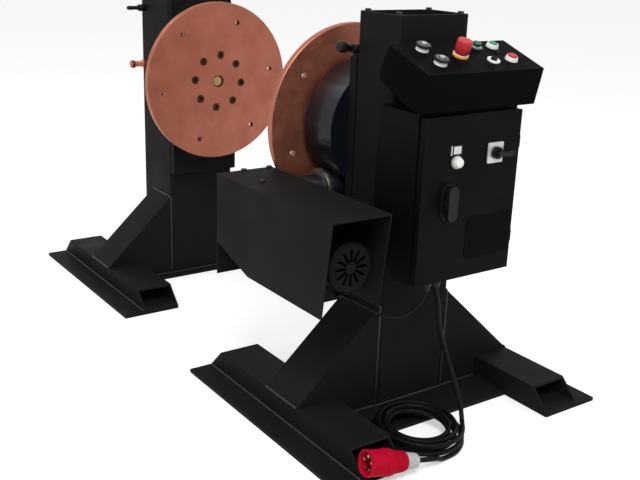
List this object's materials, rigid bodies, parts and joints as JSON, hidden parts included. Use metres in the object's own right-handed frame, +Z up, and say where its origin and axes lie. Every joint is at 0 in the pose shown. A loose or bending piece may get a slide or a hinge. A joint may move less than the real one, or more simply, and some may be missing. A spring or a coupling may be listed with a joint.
{
  "type": "welding positioner",
  "caption": "Headstock and tailstock welding positioner: box columns on forked feet, facing copper-coloured discs, a worm slewing drive and an operator cabinet with a sloping console.",
  "frame": {"origin": "on the floor, midway between the outer ends of the two stands", "axes": "+X along the turning axis towards the operator's cabinet, +Y to the right of a person who faces the cabinet, +Z up"},
  "size_m": [1.8499, 0.83, 0.9835],
  "materials": {
    "black_paint": "satin",
    "cabinet_paint": "matte",
    "copper_disc": "satin",
    "drum_paint": "gloss",
    "machined_steel": "satin",
    "dark_steel": "satin",
    "zinc_steel": "satin",
    "motor_paint": "satin",
    "bearing_steel": "polished",
    "copper": "satin",
    "gasket_foam": "matte",
    "black_plastic": "matte",
    "white_plastic": "gloss",
    "switch_silver": "satin",
    "device_plastic": "matte",
    "red_plastic": "gloss",
    "green_plastic": "gloss",
    "dark_green_plastic": "gloss",
    "cord_rubber": "satin",
    "plug_red": "gloss"
  },
  "bodies": {
    "stand": {"head_base_plate": "black_paint", "tail_base_plate": "black_paint", "fork_pockets": "black_paint", "head_column": "black_paint", "tail_column": "black_paint", "gussets": "black_paint", "column_caps": "black_paint", "mount_plates": "black_paint", "cover_screws": "zinc_steel", "cable_hooks": "dark_steel", "earth_stud": "copper", "slew_housing": "drum_paint", "slew_balls": "bearing_steel", "housing_bolts": "dark_steel", "worm_bearings": "bearing_steel", "worm_end_caps": "machined_steel", "reducer": "motor_paint", "motor": "motor_paint", "motor_fan_cover": "motor_paint", "motor_terminal_box": "motor_paint", "drive_cover": "black_paint", "drive_bracket": "black_paint", "motor_cable": "cord_rubber", "tail_bearing_housing": "black_paint", "tail_bearings": "bearing_steel", "cabinet_body": "cabinet_paint", "hinge_pins": "zinc_steel", "mounting_plate": "zinc_steel", "electrical_devices": "device_plastic", "cable_glands": "black_plastic", "console_shell": "cabinet_paint", "console_floor": "cabinet_paint", "control_collars": "white_plastic", "power_cord": "cord_rubber", "power_cord_coil": "cord_rubber", "plug_body": "plug_red", "plug_pins": "bearing_steel"},
    "headstock_disc": {"slew_ring": "machined_steel", "head_faceplate": "copper_disc", "head_faceplate_screws": "dark_steel"},
    "worm": {"worm_shaft": "machined_steel"},
    "tailstock_disc": {"tail_spindle": "machined_steel", "tail_faceplate": "copper_disc", "tail_faceplate_screws": "dark_steel", "tail_centre_bolt": "machined_steel"},
    "door": {"cabinet_door": "cabinet_paint", "door_gasket": "gasket_foam", "door_handle_base": "black_plastic", "door_plates": "switch_silver", "pilot_lamp": "white_plastic"},
    "lock": {"door_handle": "black_plastic", "latch_cam": "zinc_steel"},
    "main_switch": {"main_switch_handle": "black_plastic"},
    "estop": {"estop_button": "red_plastic"},
    "start": {"start_button": "green_plastic"},
    "stop": {"stop_button": "red_plastic"},
    "reset": {"reset_button": "dark_green_plastic"},
    "knob_left": {"speed_knob_left": "black_plastic"},
    "knob_right": {"speed_knob_right": "black_plastic"},
    "stick": {"joystick": "black_plastic"}
  },
  "joints": [
    {"name": "headstock_spin", "type": "hinge", "parent": "stand", "child": "headstock_disc", "pos_m": [0.345, 0, 0.685], "axis": [1, 0, 0], "continuous": true},
    {"name": "worm_spin", "type": "hinge", "parent": "stand", "child": "worm", "pos_m": [0.413, 0, 0.5324], "axis": [0, 1, 0], "continuous": true},
    {"name": "tailstock_spin", "type": "hinge", "parent": "stand", "child": "tailstock_disc", "pos_m": [-0.4, 0, 0.685], "axis": [1, 0, 0], "continuous": true},
    {"name": "door_hinge", "type": "hinge", "parent": "stand", "child": "door", "pos_m": [0.7835, 0.1515, 0.583], "axis": [0, 0, 1], "range_deg": [0, 110]},
    {"name": "lock_turn", "type": "hinge", "parent": "door", "child": "lock", "pos_m": [0.802, -0.07, 0.581], "axis": [1, 0, 0], "range_deg": [0, 90]},
    {"name": "main_switch_turn", "type": "hinge", "parent": "door", "child": "main_switch", "pos_m": [0.802, 0.069, 0.682], "axis": [1, 0, 0], "range_deg": [-90, 0]},
    {"name": "estop_press", "type": "slide", "parent": "stand", "child": "estop", "axis": [-0.3412, 0, -0.94], "range_m": [0, 0.004]},
    {"name": "start_press", "type": "slide", "parent": "stand", "child": "start", "axis": [-0.3412, 0, -0.94], "range_m": [0, 0.0035], "stiffness_N_per_m": 400, "springref_m": -0.003},
    {"name": "stop_press", "type": "slide", "parent": "stand", "child": "stop", "axis": [-0.3412, 0, -0.94], "range_m": [0, 0.0035], "stiffness_N_per_m": 400, "springref_m": -0.003},
    {"name": "reset_press", "type": "slide", "parent": "stand", "child": "reset", "axis": [-0.3412, 0, -0.94], "range_m": [0, 0.0035], "stiffness_N_per_m": 400, "springref_m": -0.003},
    {"name": "speed_left_turn", "type": "hinge", "parent": "stand", "child": "knob_left", "pos_m": [0.72378, -0.104, 0.91055], "axis": [0.3412, 0, 0.94], "range_deg": [-135, 135]},
    {"name": "speed_right_turn", "type": "hinge", "parent": "stand", "child": "knob_right", "pos_m": [0.78582, -0.104, 0.88804], "axis": [0.3412, 0, 0.94], "range_deg": [-135, 135]},
    {"name": "stick_tilt", "type": "hinge", "parent": "stand", "child": "stick", "pos_m": [0.78684, 0.054, 0.89086], "axis": [-0.94, 0, 0.3412], "range_deg": [-25, 25], "stiffness_Nm_per_rad": 0.3}
  ],
  "couplings": [
    {"joint": "worm_spin", "follows": "headstock_spin", "ratio": 60}
  ]
}
